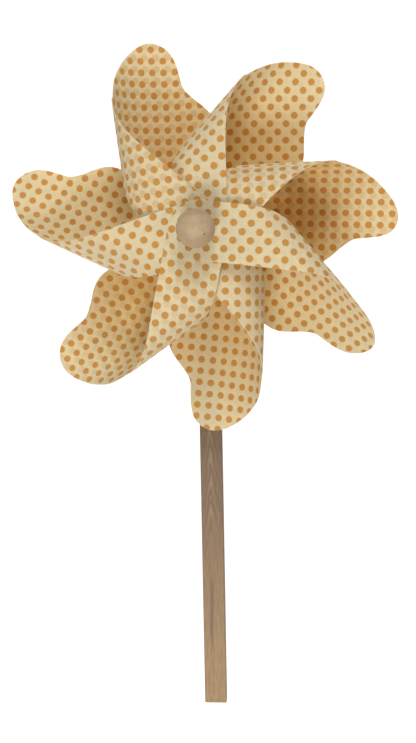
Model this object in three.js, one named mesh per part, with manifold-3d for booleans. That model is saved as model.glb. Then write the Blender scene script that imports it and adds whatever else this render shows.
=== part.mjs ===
// A garden pinwheel: seven curled card blades turning on a steel axle at the top of a wooden stick.
// Millimetres. +Z runs up the stick, -Y faces the viewer, and the axle runs along Y.
// The origin is the centre of the stick's bottom end.
import * as THREE from 'three';
import { mergeVertices } from 'three/addons/utils/BufferGeometryUtils.js';
import Module from 'manifold-3d';

const { Manifold, Mesh } = await Module().then((m) => {
  m.setup();
  return m;
});

// ---- stick and axle
const STICK_W = 12.7;
const STICK_T = 8;
const STICK_L = 286;
const HUB_Z = 274;
const EDGE = 0.5;
const AXLE_R = 1.5;
const RUN = 0.1; // radial running clearance on the axle
const GAP = 0.3; // air between neighbouring pieces

// ---- hub
const BALL_R = 10;
const BALL_BORE = 13;
const WASHER_R = 5.5;
const WASHER_T = 0.8;
const TUBE_R = 3;
const BEAD_R = 5;
const BEAD_T = 6;
const CAP_R = 4;
const CAP_T = 4;

// ---- card blades
const CARD = 0.4;
const PITCH = 0.85; // depth taken by one layer of card in the stacks at the hub
const WHEEL_D = 56; // middle of the frontmost card to middle of the rearmost, along the axle
const LEG_ANGLE = 47; // degrees between a leg and the direction in which the blade curls
const FRONT_LEG = 15.5; // half the width of the front leg, and the radius of its round end
const BACK_LEG = 9; // the same for the hidden back leg
const HOLE_R = 1.9;
const WING_TILT = 158; // degrees the card has turned through once it is behind
const REAR_BEND = 20; // radius of the last bend, which lays the back end flat on the hub
const END_FLAT = 6; // flat length beside the back hole
const ARC_STEP = 9; // degrees of bend per facet
const JOIN = 0.05; // overlap of the two cutting outlines at the turning line

// One row per blade, clockwise from the top left one.
// angle: direction of the blade, degrees; turn: hub to turning line; flat: straight run before the curl;
// swing: degrees by which its wing tip sits further round towards the curl than the middle position;
// reach: extra length of the wing's leading edge;
// front: layers in front of it in the front stack; back: layers behind it in the back stack.
const BLADES = [
  { angle: 97, turn: 38, flat: 14.5, swing: 1.5, reach: 1.5, front: 3, back: 0 },
  { angle: 47.5, turn: 38, flat: 15, swing: -0.5, reach: -2, front: 4, back: 1 },
  { angle: 1.5, turn: 34.5, flat: 12, swing: -4, reach: -6, front: 5, back: 2 },
  { angle: -50.5, turn: 39, flat: 23.5, swing: 8, reach: 4, front: 0, back: 3 },
  { angle: -92.5, turn: 35, flat: 12.5, swing: -4, reach: 2, front: 6, back: 4 },
  { angle: -145, turn: 39, flat: 23.5, swing: -1, reach: 1, front: 1, back: 5 },
  { angle: 154.5, turn: 39, flat: 16, swing: 2, reach: 2, front: 2, back: 6 },
];

// Points on a wing's edge as [across, out] from the axle, with the curl on the negative side, for a
// turning line 38 mm from the axle. The hidden edge runs behind the next blade. The open edge goes on
// round the wavy tip to the turning line.
const MEAN_TURN = 38;
const HIDDEN_EDGE = [[-6, 30], [2, 36], [9, 43], [13.5, 50], [15.5, 57], [15, 63]];
const OPEN_EDGE = [
  [13, 67.5], [9.5, 72], [5, 77], [1, 83], [0, 90], [-1, 97], [-3.5, 103.5], [-8.5, 108],
  [-15, 109.5], [-22, 107], [-29, 101], [-33.5, 94.5], [-36.5, 87],
];

const rad = THREE.MathUtils.degToRad;
const LEG_TAN = Math.tan(rad(LEG_ANGLE));
const LEG_COS = Math.cos(rad(LEG_ANGLE));

// ---- solids
function toManifold(geometry) {
  const bare = new THREE.BufferGeometry();
  bare.setAttribute('position', geometry.attributes.position);
  bare.setIndex(geometry.index);
  const welded = mergeVertices(bare, 1e-4);
  const index = welded.index.array;
  const kept = [];
  for (let i = 0; i < index.length; i += 3) {
    const [a, b, c] = [index[i], index[i + 1], index[i + 2]];
    if (a !== b && b !== c && c !== a) kept.push(a, b, c);
  }
  return new Manifold(new Mesh({
    numProp: 3,
    vertProperties: Float32Array.from(welded.attributes.position.array),
    triVerts: Uint32Array.from(kept),
  }));
}

function toGeometry(solid) {
  const mesh = solid.getMesh();
  const geometry = new THREE.BufferGeometry();
  geometry.setAttribute('position', new THREE.BufferAttribute(Float32Array.from(mesh.vertProperties), 3));
  geometry.setIndex(Array.from(mesh.triVerts));
  const flat = geometry.toNonIndexed();
  flat.computeVertexNormals();
  return flat;
}

// A prism with the given outline in the X-Z plane, running from depth y0 to depth y1.
function prism(outline, y0, y1) {
  const geometry = new THREE.ExtrudeGeometry(outline, { depth: y1 - y0, bevelEnabled: false, curveSegments: 12 });
  geometry.rotateX(Math.PI / 2);
  geometry.translate(0, y1, 0);
  return toManifold(geometry);
}

// A body turned about the axle. The profile is a list of [radius, depth] points.
function turned(profile, segments) {
  const points = profile.map(([r, y]) => new THREE.Vector2(r, y));
  return new THREE.LatheGeometry(points, segments);
}

function ring(inner, outer, y0, y1, segments) {
  return turned([[inner, y0], [outer, y0], [outer, y1], [inner, y1], [inner, y0]], segments);
}

// ---- where things sit along the axle
const FRONT = 0;
const REAR = WHEEL_D;
const WASHER_FRONT = FRONT - CARD / 2 - GAP - WASHER_T;
const BALL_Y = WASHER_FRONT - GAP - Math.sqrt(BALL_R ** 2 - (AXLE_R + GAP) ** 2);
const WASHER_REAR = REAR + CARD / 2 + GAP;
const BEAD_Y = WASHER_REAR + WASHER_T + GAP;
const STICK_FACE = BEAD_Y + BEAD_T + GAP;
const STICK_MID = STICK_FACE + STICK_T / 2;
const CAP_Y = STICK_FACE + STICK_T + GAP;
const AXLE_FRONT = BALL_Y + BALL_R - BALL_BORE + GAP;
const AXLE_BACK = CAP_Y + CAP_T - 1;

// ---- pieces
// Square stick with softened long edges and a through hole for the axle.
function stick() {
  const outline = new THREE.Shape();
  const w = STICK_W / 2;
  const t = STICK_T / 2;
  outline.moveTo(-w + EDGE, -t);
  outline.lineTo(w - EDGE, -t);
  outline.lineTo(w, -t + EDGE);
  outline.lineTo(w, t - EDGE);
  outline.lineTo(w - EDGE, t);
  outline.lineTo(-w + EDGE, t);
  outline.lineTo(-w, t - EDGE);
  outline.lineTo(-w, -t + EDGE);
  outline.closePath();
  const bar = new THREE.ExtrudeGeometry(outline, { depth: STICK_L, bevelEnabled: false });
  bar.translate(0, 0, -HUB_Z);
  const hole = new THREE.CylinderGeometry(AXLE_R + GAP, AXLE_R + GAP, STICK_T + 4, 32);
  const solid = toManifold(bar).subtract(toManifold(hole));
  const geometry = toGeometry(solid);
  geometry.translate(0, STICK_MID, 0);
  return geometry;
}

// Wooden ball with a blind hole pressed over the front of the axle.
function ball() {
  const bore = AXLE_R + GAP;
  const rim = Math.asin(bore / BALL_R);
  const steps = 20;
  const profile = [[0, BALL_Y - BALL_R]];
  for (let i = 1; i <= steps; i += 1) {
    const a = ((Math.PI - rim) * i) / steps;
    profile.push([BALL_R * Math.sin(a), BALL_Y - BALL_R * Math.cos(a)]);
  }
  profile.push([bore, BALL_Y + BALL_R - BALL_BORE]);
  profile.push([0, BALL_Y + BALL_R - BALL_BORE]);
  return turned(profile, 48);
}

function axle() {
  const c = 0.3;
  return turned([
    [0, AXLE_FRONT], [AXLE_R - c, AXLE_FRONT], [AXLE_R, AXLE_FRONT + c],
    [AXLE_R, AXLE_BACK - c], [AXLE_R - c, AXLE_BACK], [0, AXLE_BACK],
  ], 32);
}

function washer(y) {
  return ring(AXLE_R + RUN, WASHER_R, y, y + WASHER_T, 40);
}

// Sleeve on the axle inside the wheel, from the last front end to the first back end.
function sleeve() {
  const layers = (BLADES.length - 1) * PITCH + CARD / 2 + GAP;
  return ring(AXLE_R + RUN, TUBE_R, FRONT + layers, REAR - layers, 32);
}

// Barrel bead that keeps the wheel clear of the stick.
function bead() {
  const bore = AXLE_R + RUN;
  const steps = 8;
  const profile = [[bore, BEAD_Y]];
  for (let i = 0; i <= steps; i += 1) {
    const a = (Math.PI * i) / steps;
    profile.push([BEAD_R - 1.4 + 1.4 * Math.sin(a), BEAD_Y + (BEAD_T * i) / steps]);
  }
  profile.push([bore, BEAD_Y + BEAD_T], [bore, BEAD_Y]);
  return turned(profile, 32);
}

// Push-on cap that closes the axle behind the stick.
function cap() {
  const bore = AXLE_R + GAP;
  const top = CAP_Y + CAP_T;
  return turned([
    [bore, CAP_Y], [CAP_R, CAP_Y], [CAP_R, top - 1], [CAP_R - 0.8, top - 0.2], [CAP_R - 1.8, top + 0.2],
    [0, top + 0.3], [0, top - 0.7], [bore, top - 0.7], [bore, CAP_Y],
  ], 32);
}

// ---- blades
// Side view of a blade's card: straight from the front hole, curled back over the turning line,
// then sloping in to its back hole. The two middle lengths are solved so that it ends on the axle.
function bends(row, y0, y1) {
  const curl = row.turn - row.flat;
  const tilt = rad(WING_TILT);
  const inward = row.turn - REAR_BEND * Math.sin(tilt) - END_FLAT;
  const backward = y1 - y0 - curl - REAR_BEND * (1 + Math.cos(tilt));
  const short = 1 - Math.sin(tilt);
  const along = -Math.cos(tilt);
  const deep = Math.sin(tilt);
  const det = short * deep - along * along;
  const sweep = (inward * deep - along * backward) / det;
  const slope = (short * backward - along * inward) / det;
  return [
    { length: row.flat, bend: 0 },
    { length: (curl * Math.PI) / 2, bend: 90 },
    { length: sweep * (tilt - Math.PI / 2), bend: WING_TILT - 90 },
    { length: slope, bend: 0 },
    { length: REAR_BEND * (Math.PI - tilt), bend: 180 - WING_TILT },
    { length: END_FLAT, bend: 0 },
  ];
}

// Walks along the bends and returns the card's middle line as { s, x, y, a } nodes.
// It starts and ends with a flat tail beyond each hole.
function middleLine(row, y0, y1) {
  const tail = 34;
  const nodes = [{ s: -tail, x: -tail, y: y0, a: 0 }];
  let at = { s: 0, x: 0, y: y0, a: 0 };
  for (const part of bends(row, y0, y1)) {
    const steps = Math.max(1, Math.ceil(Math.abs(part.bend) / ARC_STEP));
    const turn = rad(part.bend) / steps;
    const chord = turn === 0 ? part.length : (2 * (part.length / rad(part.bend))) * Math.sin(turn / 2);
    for (let i = 0; i < steps; i += 1) {
      const heading = at.a + turn / 2;
      at = {
        s: at.s + part.length / steps,
        x: at.x + chord * Math.cos(heading),
        y: at.y + chord * Math.sin(heading),
        a: at.a + turn,
      };
      nodes.push(at);
    }
  }
  nodes.push({ s: at.s + tail, x: at.x - tail, y: at.y, a: at.a });
  return nodes;
}

// The whole curled card as a band of constant length along the turning line. The curl is on the -X side.
function band(nodes) {
  const outline = new THREE.Shape();
  const side = (node, h) => [-(node.x - h * Math.sin(node.a)), node.y + h * Math.cos(node.a)];
  nodes.forEach((node, i) => {
    const [u, v] = side(node, CARD / 2);
    if (i === 0) outline.moveTo(u, v);
    else outline.lineTo(u, v);
  });
  [...nodes].reverse().forEach((node) => {
    const [u, v] = side(node, -CARD / 2);
    outline.lineTo(u, v);
  });
  outline.closePath();
  const geometry = new THREE.ExtrudeGeometry(outline, { depth: 140, bevelEnabled: false });
  geometry.translate(0, 0, -25);
  return toManifold(geometry);
}

// Distances out along the turning line at which the front leg's inner and outer edges reach it.
function turningEdges(row) {
  const length = row.flat + ((row.turn - row.flat) * Math.PI) / 2;
  const middle = length * LEG_TAN;
  return [middle - FRONT_LEG / LEG_COS, middle + FRONT_LEG / LEG_COS];
}

// Plan of the front leg, seen from the front. Its long edges are straight in the flat card.
function frontOutline(nodes, row) {
  const edge = (node, w) => [-node.x, node.s * LEG_TAN + w / LEG_COS];
  const start = FRONT_LEG * Math.sin(rad(LEG_ANGLE));
  const curl = nodes.filter((node) => node.s > start && node.a < Math.PI / 2 - 0.01);
  const [inner, outer] = turningEdges(row);
  const outline = new THREE.Shape();
  const leg = rad(LEG_ANGLE);
  outline.absarc(0, 0, FRONT_LEG, Math.PI / 2 - leg, 1.5 * Math.PI - leg, true);
  curl.forEach((node) => outline.lineTo(...edge(node, -FRONT_LEG)));
  outline.lineTo(-row.turn, inner);
  outline.lineTo(-row.turn - 3, inner);
  outline.lineTo(-row.turn - 3, outer);
  outline.lineTo(-row.turn, outer);
  [...curl].reverse().forEach((node) => outline.lineTo(...edge(node, FRONT_LEG)));
  outline.closePath();
  return outline;
}

// Fits a point of the mean wing edge to one blade. The tip swings, and the leading side reaches out
// and follows the turning line.
function fitted([across, out], row) {
  const lead = THREE.MathUtils.clamp(-across / MEAN_TURN, 0, 1);
  const a = rad(row.swing) * (1 - lead ** 2);
  return new THREE.Vector2(
    across * Math.cos(a) - out * Math.sin(a) - (row.turn - MEAN_TURN) * lead,
    across * Math.sin(a) + out * Math.cos(a) + row.reach * lead,
  );
}

// Plan of the wing and of the narrow leg that leads it back to the hub.
function backOutline(row) {
  const [inner, outer] = turningEdges(row);
  const outline = new THREE.Shape();
  const leg = rad(LEG_ANGLE);
  outline.moveTo(-row.turn - 3, inner);
  outline.lineTo(-row.turn, inner);
  outline.lineTo(-BACK_LEG * Math.sin(leg), -BACK_LEG * Math.cos(leg));
  outline.absarc(0, 0, BACK_LEG, 1.5 * Math.PI - leg, Math.PI / 2 - leg, false);
  outline.lineTo(-14, 28);
  outline.splineThru(HIDDEN_EDGE.map((point) => fitted(point, row)));
  outline.splineThru([...OPEN_EDGE.map((point) => fitted(point, row)), new THREE.Vector2(-row.turn, outer)]);
  outline.lineTo(-row.turn - 3, outer);
  outline.closePath();
  return outline;
}

function blade(row) {
  const y0 = FRONT + row.front * PITCH;
  const y1 = REAR - row.back * PITCH;
  const nodes = middleLine(row, y0, y1);
  const middle = nodes.find((node) => node.a > Math.PI / 2 - 0.01).y;
  const front = prism(frontOutline(nodes, row), y0 - 8, middle + JOIN);
  const back = prism(backOutline(row), middle - JOIN, y1 + 8);
  const hole = toManifold(new THREE.CylinderGeometry(HOLE_R, HOLE_R, 3 * WHEEL_D, 24));
  const geometry = toGeometry(band(nodes).intersect(front.add(back)).subtract(hole));
  geometry.rotateY(rad(90 - row.angle));
  return geometry;
}

// ---- materials
function finish(colour, roughness, metalness) {
  return new THREE.MeshStandardMaterial({ color: colour, roughness, metalness });
}

const card = () => finish(0xddca9f, 0.85, 0);
const paleWood = () => finish(0xb39a7c, 0.6, 0);
const brownWood = () => finish(0x99806a, 0.7, 0);
const steel = () => finish(0xb4b6b8, 0.35, 1);
const whitePlastic = () => finish(0xe6e4dc, 0.5, 0);

function addPiece(group, name, geometry, material) {
  const mesh = new THREE.Mesh(geometry, material);
  mesh.name = name;
  mesh.position.set(0, -STICK_MID, HUB_Z);
  group.add(mesh);
}

const group = new THREE.Group();
group.name = 'pinwheel';
addPiece(group, 'stick', stick(), brownWood());
addPiece(group, 'axle', axle(), steel());
addPiece(group, 'hub_ball', ball(), paleWood());
addPiece(group, 'front_washer', washer(WASHER_FRONT), whitePlastic());
addPiece(group, 'spacer_sleeve', sleeve(), whitePlastic());
addPiece(group, 'rear_washer', washer(WASHER_REAR), whitePlastic());
addPiece(group, 'spacer_bead', bead(), paleWood());
addPiece(group, 'rear_cap', cap(), steel());
BLADES.forEach((row, i) => addPiece(group, `blade_${i + 1}`, blade(row), card()));

export default group;
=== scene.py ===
"""Looks for a toy pinwheel: dotted card blades, a wooden ball and stick, and the small hub parts."""

import math

import bmesh
import bpy
import numpy as np
from mathutils import Matrix, Vector
from mathutils.geometry import delaunay_2d_cdt


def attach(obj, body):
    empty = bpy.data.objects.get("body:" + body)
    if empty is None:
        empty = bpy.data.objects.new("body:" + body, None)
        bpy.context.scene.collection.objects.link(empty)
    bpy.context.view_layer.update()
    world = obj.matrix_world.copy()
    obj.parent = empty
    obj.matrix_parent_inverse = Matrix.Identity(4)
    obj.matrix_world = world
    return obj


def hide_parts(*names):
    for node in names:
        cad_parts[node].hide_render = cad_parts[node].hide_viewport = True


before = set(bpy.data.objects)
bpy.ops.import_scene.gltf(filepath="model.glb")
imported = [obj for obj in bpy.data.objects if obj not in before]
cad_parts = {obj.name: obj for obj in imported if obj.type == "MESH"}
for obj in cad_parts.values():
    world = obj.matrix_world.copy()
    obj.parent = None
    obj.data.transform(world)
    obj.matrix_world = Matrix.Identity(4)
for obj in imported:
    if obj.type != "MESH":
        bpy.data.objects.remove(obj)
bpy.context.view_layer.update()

MM = 0.001

# ---- sizes shared with the solids, in millimetres
HUB_Z = 274.0
STICK_T = 8.0
CARD = 0.4
PITCH = 0.85
WHEEL_D = 56.0
LEG = math.radians(47)
FRONT_LEG, BACK_LEG, HOLE_R = 15.5, 9.0, 1.9
WING_TILT = math.radians(158)
REAR_BEND, END_FLAT = 20.0, 6.0
MEAN_TURN = 38.0
AXLE_R, GAP = 1.5, 0.3
BALL_R = 10.0
WASHER_T, BEAD_T = 0.8, 6.0
WASHER_FRONT = -CARD / 2 - GAP - WASHER_T
BALL_Y = WASHER_FRONT - GAP - math.sqrt(BALL_R**2 - (AXLE_R + GAP) ** 2)
STICK_MID = WHEEL_D + CARD / 2 + GAP + WASHER_T + GAP + BEAD_T + GAP + STICK_T / 2

# One row per blade, clockwise from the top left.
# angle: direction of the blade, degrees. turn: hub to turning line. flat: straight run before the curl.
# swing: degrees by which the wing tip sits further round. reach: extra length of the wing's leading edge.
# front, back: layers of card in front of it in the front stack, and behind it in the back stack.
# through: how strongly the far side's dots are painted in as painted shadows, standing in for light shining
# through the card. painted_shade: how much painted shade, with a brownish glow of light through the card,
# darkens the inner side towards the hub.
BLADES = [
    dict(
        angle=97, turn=38, flat=14.5, swing=1.5, reach=1.5, front=3, back=0,
        through=0.5, painted_shade=0.3,
    ),
    dict(
        angle=47.5, turn=38, flat=15, swing=-0.5, reach=-2, front=4, back=1,
        through=0.08, painted_shade=0.65,
    ),
    dict(
        angle=1.5, turn=34.5, flat=12, swing=-4, reach=-6, front=5, back=2,
        through=0.4, painted_shade=0.9,
    ),
    dict(
        angle=-50.5, turn=39, flat=23.5, swing=8, reach=4, front=0, back=3,
        through=0.08, painted_shade=0.1,
    ),
    dict(
        angle=-92.5, turn=35, flat=12.5, swing=-4, reach=2, front=6, back=4,
        through=0.1, painted_shade=0.45,
    ),
    dict(
        angle=-145, turn=39, flat=23.5, swing=-1, reach=1, front=1, back=5,
        through=0.3, painted_shade=0.7,
    ),
    dict(
        angle=154.5, turn=39, flat=16, swing=2, reach=2, front=2, back=6,
        through=0.08, painted_shade=0.12,
    ),
]
LEG_TOP = (-14, 28)
HIDDEN_EDGE = [(-6, 30), (2, 36), (9, 43), (13.5, 50), (15.5, 57), (15, 63)]
OPEN_EDGE = [
    (13, 67.5), (9.5, 72), (5, 77), (1, 83), (0, 90), (-1, 97), (-3.5, 103.5), (-8.5, 108),
    (-15, 109.5), (-22, 107), (-29, 101), (-33.5, 94.5), (-36.5, 87),
]
TAIL = 34.0
MESH_STEP = 1.7
ROW_STEP = 6.0

# The printed dots, with the painted shadows of the far side's dots and the painted shade by the hub: places
# in millimetres, shifts in dots.
DOT_PITCH = 6.45
DOT_R = 1.92
FLAP_TILT, WING_TILT_OF_DOTS = math.radians(2), math.radians(4)
# FAR_SHIFT moves the painted shadows of the far side's dots off the near side's dots.
FAR_SHIFT = (0.4, 0.3)
# Painted shade on the inner side: where it begins and where it is full, in millimetres out from the hub.
PAINTED_SHADE_FROM, PAINTED_SHADE_TO = 100.0, 55.0
CUT_STEP = (0.37, 0.61)


# ---- shape of one blade
def bends(row, y0, y1):
    """The bends of the card's side view as (length, turn) pairs, from the front hole to the back one."""
    curl = row["turn"] - row["flat"]
    inward = row["turn"] - REAR_BEND * math.sin(WING_TILT) - END_FLAT
    backward = y1 - y0 - curl - REAR_BEND * (1 + math.cos(WING_TILT))
    short = 1 - math.sin(WING_TILT)
    along = -math.cos(WING_TILT)
    deep = math.sin(WING_TILT)
    det = short * deep - along * along
    sweep = (inward * deep - along * backward) / det
    slope = (short * backward - along * inward) / det
    return [
        (row["flat"], 0.0),
        (curl * math.pi / 2, math.pi / 2),
        (sweep * (WING_TILT - math.pi / 2), WING_TILT - math.pi / 2),
        (slope, 0.0),
        (REAR_BEND * (math.pi - WING_TILT), math.pi - WING_TILT),
        (END_FLAT, 0.0),
    ]


def middle_line(row, y0, y1):
    """Arrays of length along the card, distance across, depth and heading, closely spaced."""
    nodes = [(-TAIL, -TAIL, y0, 0.0), (0.0, 0.0, y0, 0.0)]
    s, x, y, a = nodes[-1]
    for length, bend in bends(row, y0, y1):
        steps = max(1, math.ceil(length / MESH_STEP))
        turn = bend / steps
        chord = length / steps if bend == 0 else 2 * length / bend * math.sin(turn / 2)
        for _ in range(steps):
            x += chord * math.cos(a + turn / 2)
            y += chord * math.sin(a + turn / 2)
            s += length / steps
            a += turn
            nodes.append((s, x, y, a))
    nodes.append((s + TAIL, x - TAIL, y, a))
    return np.array(nodes)


def spline(points, steps):
    """Catmull-Rom curve through the points, without the first one."""
    p = [Vector(q) for q in points]
    found = []
    for i in range(len(p) - 1):
        a = p[max(i - 1, 0)]
        b, c = p[i], p[i + 1]
        d = p[min(i + 2, len(p) - 1)]
        for k in range(1, steps + 1):
            t = k / steps
            v0, v1 = (c - a) * 0.5, (d - b) * 0.5
            found.append(
                (2 * t**3 - 3 * t**2 + 1) * b + (t**3 - 2 * t**2 + t) * v0
                + (3 * t**2 - 2 * t**3) * c + (t**3 - t**2) * v1
            )
    return [tuple(q) for q in found]


def fitted(point, row):
    """A point of the mean wing edge, fitted to one blade."""
    across, out = point
    lead = min(max(-across / MEAN_TURN, 0), 1)
    a = math.radians(row["swing"]) * (1 - lead**2)
    return (
        across * math.cos(a) - out * math.sin(a) - (row["turn"] - MEAN_TURN) * lead,
        across * math.sin(a) + out * math.cos(a) + row["reach"] * lead,
    )


def arc(r, start, end, count):
    """Points of an arc round the origin, with both ends."""
    turns = [start + (end - start) * i / count for i in range(count + 1)]
    return [(r * math.cos(w), r * math.sin(w)) for w in turns]


def flat_outline(row, line):
    """The blade's outline on the flat card as (length, out) points."""
    turn_s = row["flat"] + (row["turn"] - row["flat"]) * math.pi / 2
    inner = turn_s * math.tan(LEG) - FRONT_LEG / math.cos(LEG)
    outer = turn_s * math.tan(LEG) + FRONT_LEG / math.cos(LEG)
    behind = line[line[:, 0] >= turn_s - 1e-6]
    order = np.argsort(behind[:, 1])

    def length_at(across):
        return float(np.interp(across, behind[order, 1], behind[order, 0]))

    front_end = [(-u, z) for u, z in arc(FRONT_LEG, math.pi / 2 - LEG, -math.pi / 2 - LEG, 28)]
    back_end = arc(BACK_LEG, -math.pi / 2 - LEG, math.pi / 2 - LEG, 20)
    leg_in = [(-row["turn"], inner), (-BACK_LEG * math.sin(LEG), -BACK_LEG * math.cos(LEG))]
    leg_in = [tuple(Vector(leg_in[0]).lerp(Vector(leg_in[1]), i / 12)) for i in range(12)]
    leg_out = [tuple(Vector(back_end[-1]).lerp(Vector(LEG_TOP), i / 8)) for i in range(1, 9)]
    hidden = spline([LEG_TOP, *[fitted(q, row) for q in HIDDEN_EDGE]], 5)
    tip = spline([hidden[-1], *[fitted(q, row) for q in OPEN_EDGE], (-row["turn"], outer)], 6)
    wing = leg_in + back_end + leg_out + hidden + tip
    back = [(length_at(-u), z) for u, z in wing]
    return front_end + back


def inside(points, loop):
    """Which points lie inside a closed loop."""
    x, y = points[:, 0], points[:, 1]
    found = np.zeros(len(points), bool)
    for (x0, y0), (x1, y1) in zip(loop, loop[1:] + loop[:1]):
        if y0 == y1:
            continue
        crosses = (y0 > y) != (y1 > y)
        found ^= crosses & (x < (x1 - x0) * (y - y0) / (y1 - y0) + x0)
    return found


def print_place(points, tilt, number):
    """Where points of the flat card fall in the square grid of dots, whose centres are at whole numbers.

    Each blade is cut from the printed sheet a step further on than the one before.
    """
    s, t = points[:, 0], points[:, 1]
    columns = (s * math.cos(tilt) - t * math.sin(tilt)) / DOT_PITCH + number * CUT_STEP[0]
    lines = (s * math.sin(tilt) + t * math.cos(tilt)) / DOT_PITCH + number * CUT_STEP[1]
    return np.stack([columns, lines], 1)


def flat_card(row, line):
    """The blade cut from flat card and divided into triangles: (length, out) points, and faces."""
    outline = flat_outline(row, line)
    back_s = line[-1, 0] - TAIL
    hole = arc(HOLE_R, 0, 2 * math.pi, 20)[:-1]
    holes = [hole, [(u + back_s, z) for u, z in hole]]
    verts, edges = [], []
    for loop in [outline, *holes]:
        first = len(verts)
        verts += loop
        edges += [(first + i, first + (i + 1) % len(loop)) for i in range(len(loop))]
    for s in line[1:-1, 0]:
        edges.append((len(verts), len(verts) + 1))
        verts += [(s, -20.0), (s, 120.0)]
    for t in np.arange(-15.0, 116.0, ROW_STEP):
        edges.append((len(verts), len(verts) + 1))
        verts += [(-20.0, float(t)), (line[-1, 0], float(t))]
    points, _, faces, _, _, _ = delaunay_2d_cdt([Vector(v) for v in verts], edges, [], 0, 1e-5)
    points = np.array([tuple(p) for p in points])
    faces = np.array(faces)
    centres = points[faces].mean(1)
    keep = inside(centres, outline)
    for loop in holes:
        keep &= ~inside(centres, loop)
    used, faces = np.unique(faces[keep], return_inverse=True)
    return points[used], faces.reshape(-1, 3)


def curled(points, row, line):
    """Places of the flat points on the curled card's outer and inner side, in metres."""
    x, y, a = (np.interp(points[:, 0], line[:, 0], line[:, i]) for i in (1, 2, 3))
    angle = math.radians(row["angle"])
    along = np.array([math.cos(angle), 0, math.sin(angle)])
    across = np.array([-math.sin(angle), 0, math.cos(angle)])
    depth = np.array([0, 1.0, 0])
    middle = np.outer(x, across) + np.outer(y, depth) + np.outer(points[:, 1], along)
    normal = np.outer(-np.sin(a), across) + np.outer(np.cos(a), depth)
    shift = np.array([0, -STICK_MID, HUB_Z])
    return (middle - normal * CARD / 2 + shift) * MM, (middle + normal * CARD / 2 + shift) * MM


def closed_faces(points, faces):
    """Faces of both sides and of the cut edge, and the material of each: outer 0, inner 1, edge 2."""
    n = len(points)
    sides = {(f[i], f[(i + 1) % 3]): None for f in faces for i in range(3)}
    walls = [(i, j) for i, j in sides if (j, i) not in sides]
    p = points[faces]
    turned = np.cross(p[:, 1] - p[:, 0], p[:, 2] - p[:, 0]) > 0
    found, kinds = [], []
    for face, flip in zip(faces.tolist(), turned.tolist()):
        outer = face[::-1] if flip else face
        found.append(outer)
        found.append([i + n for i in outer[::-1]])
        kinds += [0, 1]
    for i, j in walls:
        found.append([i, j, j + n, i + n])
        kinds.append(2)
    return found, kinds


def blade_mesh(name, row, number):
    """The curled card as a thin closed mesh. Its two UV maps place the dots of its two sides."""
    line = middle_line(row, row["front"] * PITCH, WHEEL_D - row["back"] * PITCH)
    points, faces = flat_card(row, line)
    outer, inner = curled(points, row, line)
    mesh_faces, kinds = closed_faces(points, faces)
    mesh = bpy.data.meshes.new(name)
    mesh.from_pydata(np.concatenate([outer, inner]).tolist(), [], mesh_faces)
    mesh.polygons.foreach_set("material_index", kinds)
    bm = bmesh.new()
    bm.from_mesh(mesh)
    bmesh.ops.recalc_face_normals(bm, faces=bm.faces)
    prints = {
        "flap": print_place(points, FLAP_TILT, number),
        "wing": print_place(points, WING_TILT_OF_DOTS, number),
    }
    prints = {bm.loops.layers.uv.new(key): np.concatenate([grid, grid]) for key, grid in prints.items()}
    bm.verts.ensure_lookup_table()
    for face in bm.faces:
        face.smooth = face.material_index < 2
        for loop in face.loops:
            for layer, grid in prints.items():
                loop[layer].uv = grid[loop.vert.index]
    for edge in bm.edges:
        if len({face.material_index for face in edge.link_faces}) == 2:
            edge.smooth = False
    bm.to_mesh(mesh)
    bm.free()
    return mesh


# ---- materials
def srgb(r, g, b):
    """A linear colour from screen values of 0 to 255."""

    def one(v):
        v /= 255
        return v / 12.92 if v <= 0.04045 else ((v + 0.055) / 1.055) ** 2.4

    return (one(r), one(g), one(b), 1)


class Tree:
    """Small helper for building a material's node tree."""

    def __init__(self, name, roughness):
        self.material = bpy.data.materials.new(name)
        self.material.use_nodes = True
        self.nodes = self.material.node_tree.nodes
        self.links = self.material.node_tree.links
        self.shader = self.nodes["Principled BSDF"]
        self.shader.inputs["Roughness"].default_value = roughness

    def add(self, kind, **settings):
        node = self.nodes.new(kind)
        for key, value in settings.items():
            setattr(node, key, value)
        return node

    def put(self, value, socket):
        if isinstance(value, bpy.types.NodeSocket):
            self.links.new(value, socket)
        else:
            socket.default_value = value

    def math(self, operation, a, b=0.0):
        node = self.add("ShaderNodeMath", operation=operation)
        self.put(a, node.inputs[0])
        self.put(b, node.inputs[1])
        return node.outputs[0]

    def mix(self, factor, a, b, blend="MIX"):
        node = self.add("ShaderNodeMix", data_type="RGBA", blend_type=blend)
        self.put(factor, node.inputs[0])
        self.put(a, node.inputs[6])
        self.put(b, node.inputs[7])
        return node.outputs[2]

    def ramp(self, value, low, high):
        node = self.add("ShaderNodeMapRange", interpolation_type="SMOOTHSTEP")
        self.put(value, node.inputs["Value"])
        node.inputs["From Min"].default_value = low
        node.inputs["From Max"].default_value = high
        return node.outputs["Result"]

    def noise(self, vector, scale, detail=2.0, rough=0.5):
        node = self.add("ShaderNodeTexNoise")
        node.inputs["Scale"].default_value = scale
        node.inputs["Detail"].default_value = detail
        node.inputs["Roughness"].default_value = rough
        self.links.new(vector, node.inputs["Vector"])
        return node.outputs["Fac"]

    def place(self, scale=(1, 1, 1), offset=(0, 0, 0)):
        """Object coordinates in millimetres, stretched."""
        coords = self.add("ShaderNodeTexCoord").outputs["Object"]
        node = self.add("ShaderNodeMapping")
        node.inputs["Scale"].default_value = [1000 * v for v in scale]
        node.inputs["Location"].default_value = offset
        self.links.new(coords, node.inputs["Vector"])
        return node.outputs["Vector"]

    def bump(self, height, distance, strength):
        node = self.add("ShaderNodeBump")
        node.inputs["Strength"].default_value = strength
        node.inputs["Distance"].default_value = distance
        self.links.new(height, node.inputs["Height"])
        self.links.new(node.outputs["Normal"], self.shader.inputs["Normal"])


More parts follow.
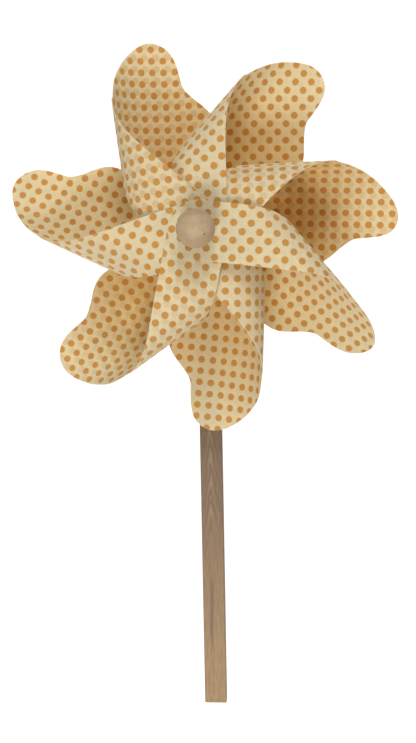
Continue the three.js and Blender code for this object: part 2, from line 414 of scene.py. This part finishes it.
GROUND = srgb(228, 214, 179)
GROUND_FIBRE = srgb(222, 207, 171)
GROUND_CLOUD = srgb(220, 205, 166)
DOT = srgb(203, 156, 80)
DOT_DARK = srgb(199, 148, 72)
# Painted shade: the colour of the far side's dots showing through the card with light behind it.
PAINTED_FAR_DOT_SHADE = srgb(208, 176, 116)
# Painted shade: the brownish tint that darkens the inner side by the hub, standing in for shade inside the
# curl and light glowing through the card.
POCKET_PAINTED_SHADE = (0.86, 0.73, 0.42, 1)


def dots(tree, side, shift=(0, 0)):
    """1 inside a printed dot, 0 on the bare ground."""
    uv = tree.add("ShaderNodeUVMap", uv_map=side).outputs["UV"]
    split = tree.add("ShaderNodeSeparateXYZ")
    tree.links.new(uv, split.inputs[0])
    squares = []
    for value, move in zip(split.outputs, shift):
        cell = tree.math("FRACT", tree.math("ADD", value, 100.5 - move))
        off = tree.math("MULTIPLY", tree.math("SUBTRACT", cell, 0.5), DOT_PITCH)
        squares.append(tree.math("MULTIPLY", off, off))
    distance = tree.math("SQRT", tree.math("ADD", *squares))
    wobble = tree.math("MULTIPLY", tree.math("SUBTRACT", tree.noise(tree.place(), 0.9), 0.5), 0.35)
    return tree.ramp(tree.math("ADD", distance, wobble), DOT_R + 0.3, DOT_R - 0.3)


def card_material(name, side, number, through, painted_shade=0):
    """Printed card. The far side's dots are painted in faintly, as painted shadows of light shining through
    the card. painted_shade paints shade with a brownish glow into the pocket by the hub.
    """
    tree = Tree(name, 0.75)
    fibre = tree.noise(tree.place(), 0.35, 4.0, 0.6)
    cloud = tree.noise(tree.place(), 0.03, 2.0)
    ground = tree.mix(tree.ramp(fibre, 0.3, 0.75), GROUND, GROUND_FIBRE)
    ground = tree.mix(tree.math("MULTIPLY", tree.ramp(cloud, 0.35, 0.7), 0.35), ground, GROUND_CLOUD)
    # Painted shadows of the far side's dots, standing in for light shining through the card.
    far = tree.math("MULTIPLY", dots(tree, side, FAR_SHIFT), through)
    ground = tree.mix(far, ground, PAINTED_FAR_DOT_SHADE)
    ink = tree.mix(tree.ramp(tree.noise(tree.place(), 0.8), 0.35, 0.7), DOT, DOT_DARK)
    printed = tree.mix(dots(tree, side), ground, ink)
    # Painted shade: darkens and browns the inner side towards the hub, standing in for shade inside the curl
    # and light glowing through the card.
    if painted_shade:
        place = tree.add("ShaderNodeSeparateXYZ")
        tree.links.new(tree.add("ShaderNodeUVMap", uv_map=side).outputs["UV"], place.inputs[0])
        first = number * CUT_STEP[1]
        painted_shade_fade = tree.ramp(place.outputs[1], first + PAINTED_SHADE_FROM / DOT_PITCH, first + PAINTED_SHADE_TO / DOT_PITCH)
        deep = tree.math("MULTIPLY", painted_shade_fade, painted_shade)
        printed = tree.mix(deep, printed, POCKET_PAINTED_SHADE, "MULTIPLY")
    tree.links.new(printed, tree.shader.inputs["Base Color"])
    shader = tree.shader.inputs
    shader["Specular IOR Level"].default_value = 0.2
    shader["Subsurface Weight"].default_value = 0.8
    shader["Subsurface Radius"].default_value = (1.0, 0.85, 0.4)
    shader["Subsurface Scale"].default_value = 0.001
    tree.bump(fibre, 0.0002, 0.25)
    return tree.material


def card_edge():
    """The cut edge of the card, where its pale fibres show."""
    tree = Tree("card_edge", 0.8)
    fibre = tree.noise(tree.place(), 1.2, 3.0)
    colour = tree.mix(fibre, srgb(226, 206, 168), srgb(243, 228, 196))
    tree.links.new(colour, tree.shader.inputs["Base Color"])
    return tree.material


def ball_wood():
    """Pale sanded wood with fine pores, and one dark fleck low on the right of the front."""
    tree = Tree("pale_wood", 0.55)
    grain = tree.noise(tree.place((0.35, 0.35, 1.0)), 0.35, 4.0, 0.6)
    cloud = tree.noise(tree.place(), 0.16, 3.0, 0.55)
    speck = tree.noise(tree.place(), 1.7, 3.0, 0.7)
    colour = tree.mix(tree.ramp(cloud, 0.35, 0.65), srgb(182, 154, 121), srgb(190, 166, 124))
    colour = tree.mix(tree.math("MULTIPLY", tree.ramp(grain, 0.35, 0.7), 0.35), colour, srgb(168, 138, 108))
    colour = tree.mix(tree.math("MULTIPLY", tree.ramp(speck, 0.5, 0.68), 0.55), colour, srgb(148, 119, 91))
    spot = tree.add("ShaderNodeVectorMath", operation="DISTANCE")
    tree.links.new(tree.place(), spot.inputs[0])
    spot.inputs[1].default_value = (5.2, BALL_Y - STICK_MID - 8.0, HUB_Z - 3.3)
    fleck = tree.ramp(spot.outputs["Value"], 0.75, 0.3)
    colour = tree.mix(tree.math("MULTIPLY", fleck, 0.75), colour, srgb(92, 66, 50))
    tree.links.new(colour, tree.shader.inputs["Base Color"])
    tree.bump(speck, 0.0002, 0.35)
    return tree.material


def stick_wood():
    """Brown wood, darker towards the top, with arched grain up there and a dark streak lower down."""
    tree = Tree("brown_wood", 0.7)
    where = tree.add("ShaderNodeSeparateXYZ")
    tree.links.new(tree.place(), where.inputs[0])
    height = where.outputs[2]
    sway = tree.math("SUBTRACT", tree.noise(tree.place((0.1, 0.1, 0.02)), 1.0, 3.0), 0.5)
    across = tree.math("ADD", where.outputs[0], tree.math("MULTIPLY", sway, 5.0))
    away = tree.math("ABSOLUTE", tree.math("ADD", across, 0.6))
    # arches of grain, highest in the middle of the face
    arch = tree.math("ADD", tree.math("MULTIPLY", height, 0.42), tree.math("MULTIPLY", away, 2.0))
    uneven = tree.math("SUBTRACT", tree.noise(tree.place((0.12, 0.12, 0.06)), 1.0, 3.0), 0.5)
    rings = tree.math("SINE", tree.math("ADD", arch, tree.math("MULTIPLY", uneven, 14.0)))
    fine = tree.noise(tree.place((2.2, 2.2, 0.12)), 1.0, 4.0, 0.65)
    pore = tree.noise(tree.place((4.5, 4.5, 0.6)), 1.0, 2.0, 0.5)
    heart = tree.math("MULTIPLY", tree.ramp(away, 2.6, 0.2), tree.ramp(height, 88.0, 118.0))
    streak = tree.ramp(tree.math("ABSOLUTE", tree.math("ADD", across, 2.0)), 1.5, 0.3)
    streak = tree.math("MULTIPLY", streak, tree.ramp(height, 24.0, 44.0))
    streak = tree.math("MULTIPLY", streak, tree.ramp(height, 84.0, 66.0))
    colour = tree.mix(tree.ramp(height, 10.0, 150.0), srgb(168, 139, 100), srgb(128, 104, 79))
    upper = tree.math("MULTIPLY", tree.ramp(height, 70.0, 125.0), 0.3)
    arched = tree.math("MULTIPLY", tree.ramp(rings, -0.4, 0.9), upper)
    colour = tree.mix(arched, colour, srgb(104, 81, 60))
    colour = tree.mix(tree.math("MULTIPLY", tree.ramp(fine, 0.42, 0.66), 0.5), colour, srgb(108, 84, 61))
    colour = tree.mix(tree.math("MULTIPLY", tree.ramp(pore, 0.58, 0.75), 0.45), colour, srgb(92, 70, 51))
    pale = tree.math("MULTIPLY", heart, tree.ramp(rings, 0.4, -0.4))
    pale = tree.math("MULTIPLY", pale, tree.ramp(pore, 0.35, 0.6))
    colour = tree.mix(pale, colour, srgb(158, 134, 104))
    colour = tree.mix(tree.math("MULTIPLY", streak, 0.6), colour, srgb(100, 82, 66))
    tree.links.new(colour, tree.shader.inputs["Base Color"])
    tree.bump(fine, 0.0003, 0.5)
    return tree.material


def plain(name, colour, dark, roughness, metallic=0.0, scale=0.6):
    """A finish with soft blotches between two colours."""
    tree = Tree(name, roughness)
    tree.shader.inputs["Metallic"].default_value = metallic
    mark = tree.noise(tree.place(), scale, 3.0)
    tree.links.new(tree.mix(tree.ramp(mark, 0.3, 0.7), colour, dark), tree.shader.inputs["Base Color"])
    tree.bump(mark, 0.0001, 0.2)
    return tree.material


# ---- pieces
def piece(name, mesh, body, slot, *nodes):
    """Adds a piece that rides on a body and stands for CAD nodes."""
    made = bpy.data.objects.new(name, mesh)
    bpy.context.scene.collection.objects.link(made)
    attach(made, body)
    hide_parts(*nodes)
    return made


edge = card_edge()
for number, row in enumerate(BLADES, 1):
    mesh = blade_mesh(f"card_blade_{number}", row, number)
    mesh.materials.append(card_material(f"card_outer_{number}", "flap", number, row["through"]))
    mesh.materials.append(card_material(f"card_inner_{number}", "wing", number, row["through"], row["painted_shade"]))
    mesh.materials.append(edge)
    piece(f"card_blade_{number}", mesh, "wheel", "card", f"blade_{number}")


def ball_mesh():
    """A round ball with its blind bore."""
    bore = AXLE_R + GAP
    rim = math.asin(bore / BALL_R)
    steps = 40
    profile = [(0.0, -BALL_R)]
    profile += [
        (BALL_R * math.sin((math.pi - rim) * i / steps), -BALL_R * math.cos((math.pi - rim) * i / steps))
        for i in range(1, steps + 1)
    ]
    profile += [(bore, -3.0), (0.0, -3.0)]
    bm = bmesh.new()
    count = 72
    loops = []
    for r, y in profile:
        if r == 0:
            loops.append([bm.verts.new((0, y * MM, 0))])
        else:
            turn = [2 * math.pi * k / count for k in range(count)]
            loops.append([bm.verts.new((r * math.cos(w) * MM, y * MM, r * math.sin(w) * MM)) for w in turn])
    for a, b in zip(loops, loops[1:]):
        for k in range(count):
            corner = [a[k % len(a)], a[(k + 1) % len(a)], b[(k + 1) % len(b)], b[k % len(b)]]
            bm.faces.new(list(dict.fromkeys(corner)))
    bmesh.ops.recalc_face_normals(bm, faces=bm.faces)
    for face in bm.faces:
        face.smooth = True
    mesh = bpy.data.meshes.new("wood_ball")
    bm.to_mesh(mesh)
    bm.free()
    mesh.transform(Matrix.Translation(Vector((0, (BALL_Y - STICK_MID) * MM, HUB_Z * MM))))
    return mesh


ball = ball_mesh()
ball.materials.append(ball_wood())
piece("wood_ball", ball, "handle", "pale_wood", "hub_ball")

for node, material in {
    "stick": stick_wood(),
    "axle": plain("steel", srgb(190, 191, 193), srgb(160, 161, 164), 0.32, 1.0, 1.5),
    "rear_cap": plain("steel_cap", srgb(184, 185, 188), srgb(158, 159, 162), 0.38, 1.0, 1.2),
    "front_washer": plain("plastic_front", srgb(232, 229, 220), srgb(222, 218, 207), 0.5),
    "rear_washer": plain("plastic_rear", srgb(232, 229, 220), srgb(222, 218, 207), 0.5),
    "spacer_sleeve": plain("plastic_sleeve", srgb(235, 232, 224), srgb(224, 221, 211), 0.45),
    "spacer_bead": plain("bead_wood", srgb(205, 178, 140), srgb(184, 155, 117), 0.55),
}.items():
    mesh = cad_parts[node].data
    mesh.materials.clear()
    mesh.materials.append(material)


# ---- stage, light and camera
def stage_floor():
    """A wide pale floor that sweeps up all round the object."""
    profile = [(0.0, -0.35), (2.4, -0.35)]
    profile += [(2.4 + math.sin(w), 0.65 - math.cos(w)) for w in np.linspace(0.1, math.pi / 2, 14)]
    profile += [(3.4, 5.0)]
    count = 72
    verts = [
        (r * math.cos(2 * math.pi * k / count), r * math.sin(2 * math.pi * k / count), z)
        for r, z in profile[1:]
        for k in range(count)
    ]
    faces = [tuple(range(count))]
    for ring in range(len(profile) - 2):
        for k in range(count):
            a, b = ring * count + k, ring * count + (k + 1) % count
            faces.append((a, b, b + count, a + count))
    mesh = bpy.data.meshes.new("floor")
    mesh.from_pydata(verts, [], faces)
    made = bpy.data.objects.new("floor", mesh)
    bpy.context.scene.collection.objects.link(made)
    tree = Tree("floor", 0.9)
    tree.shader.inputs["Base Color"].default_value = (0.9, 0.9, 0.9, 1)
    tree.shader.inputs["Emission Color"].default_value = (1, 1, 1, 1)
    tree.shader.inputs["Emission Strength"].default_value = 0.75
    mesh.materials.append(tree.material)
    made.visible_diffuse = False


def area_light(name, place, aim, size, power):
    """A soft round light turned towards a point."""
    data = bpy.data.lights.new(name, "AREA")
    data.shape = "DISK"
    data.size = size
    data.energy = power
    made = bpy.data.objects.new(name, data)
    made.location = place
    made.rotation_euler = (Vector(aim) - Vector(place)).to_track_quat("-Z", "Y").to_euler()
    bpy.context.scene.collection.objects.link(made)


HUB = Vector((0, -STICK_MID * MM, HUB_Z * MM))
stage_floor()
area_light("upper", (0.12, -0.8, 1.2), HUB, 0.38, 5.5)
area_light("lower", (-0.1, -0.7, -0.28), HUB, 0.35, 4.1)
area_light("rear", (0.1, 0.9, 0.75), HUB, 0.9, 6.0)

world = bpy.data.worlds.new("studio")
bpy.context.scene.world = world
world.use_nodes = True
world.node_tree.nodes["Background"].inputs["Color"].default_value = (1, 0.945, 0.93, 1)
world.node_tree.nodes["Background"].inputs["Strength"].default_value = 0.4
bpy.context.scene.view_settings.view_transform = "Standard"
bpy.context.scene.view_settings.look = "None"


CAMERA_AWAY, CAMERA_ASIDE, CAMERA_BELOW = 600.0, 5.5, 73.5
LENS, SENSOR = 56.1, 36.0


def camera():
    """Long lens, a little above and to the right of the axle, rolled about one degree."""
    azimuth, elevation, roll = math.radians(4.5), math.radians(4.0), math.radians(-1.08)
    level_forward = Vector((-math.sin(azimuth), math.cos(azimuth), 0))
    forward = level_forward * math.cos(elevation) - Vector((0, 0, math.sin(elevation)))
    level = forward.cross(Vector((0, 0, 1))).normalized()
    upright = level.cross(forward)
    right = level * math.cos(roll) + upright * math.sin(roll)
    up = upright * math.cos(roll) - level * math.sin(roll)
    eye = HUB + (right * CAMERA_ASIDE - up * CAMERA_BELOW - forward * CAMERA_AWAY) * MM
    data = bpy.data.cameras.new("camera")
    data.sensor_fit = "VERTICAL"
    data.sensor_height = SENSOR
    data.lens = LENS
    data.clip_start = 0.01
    made = bpy.data.objects.new("camera", data)
    made.matrix_world = Matrix((
        (right.x, up.x, -forward.x, eye.x),
        (right.y, up.y, -forward.y, eye.y),
        (right.z, up.z, -forward.z, eye.z),
        (0, 0, 0, 1),
    ))
    bpy.context.scene.collection.objects.link(made)
    bpy.context.scene.camera = made


camera()
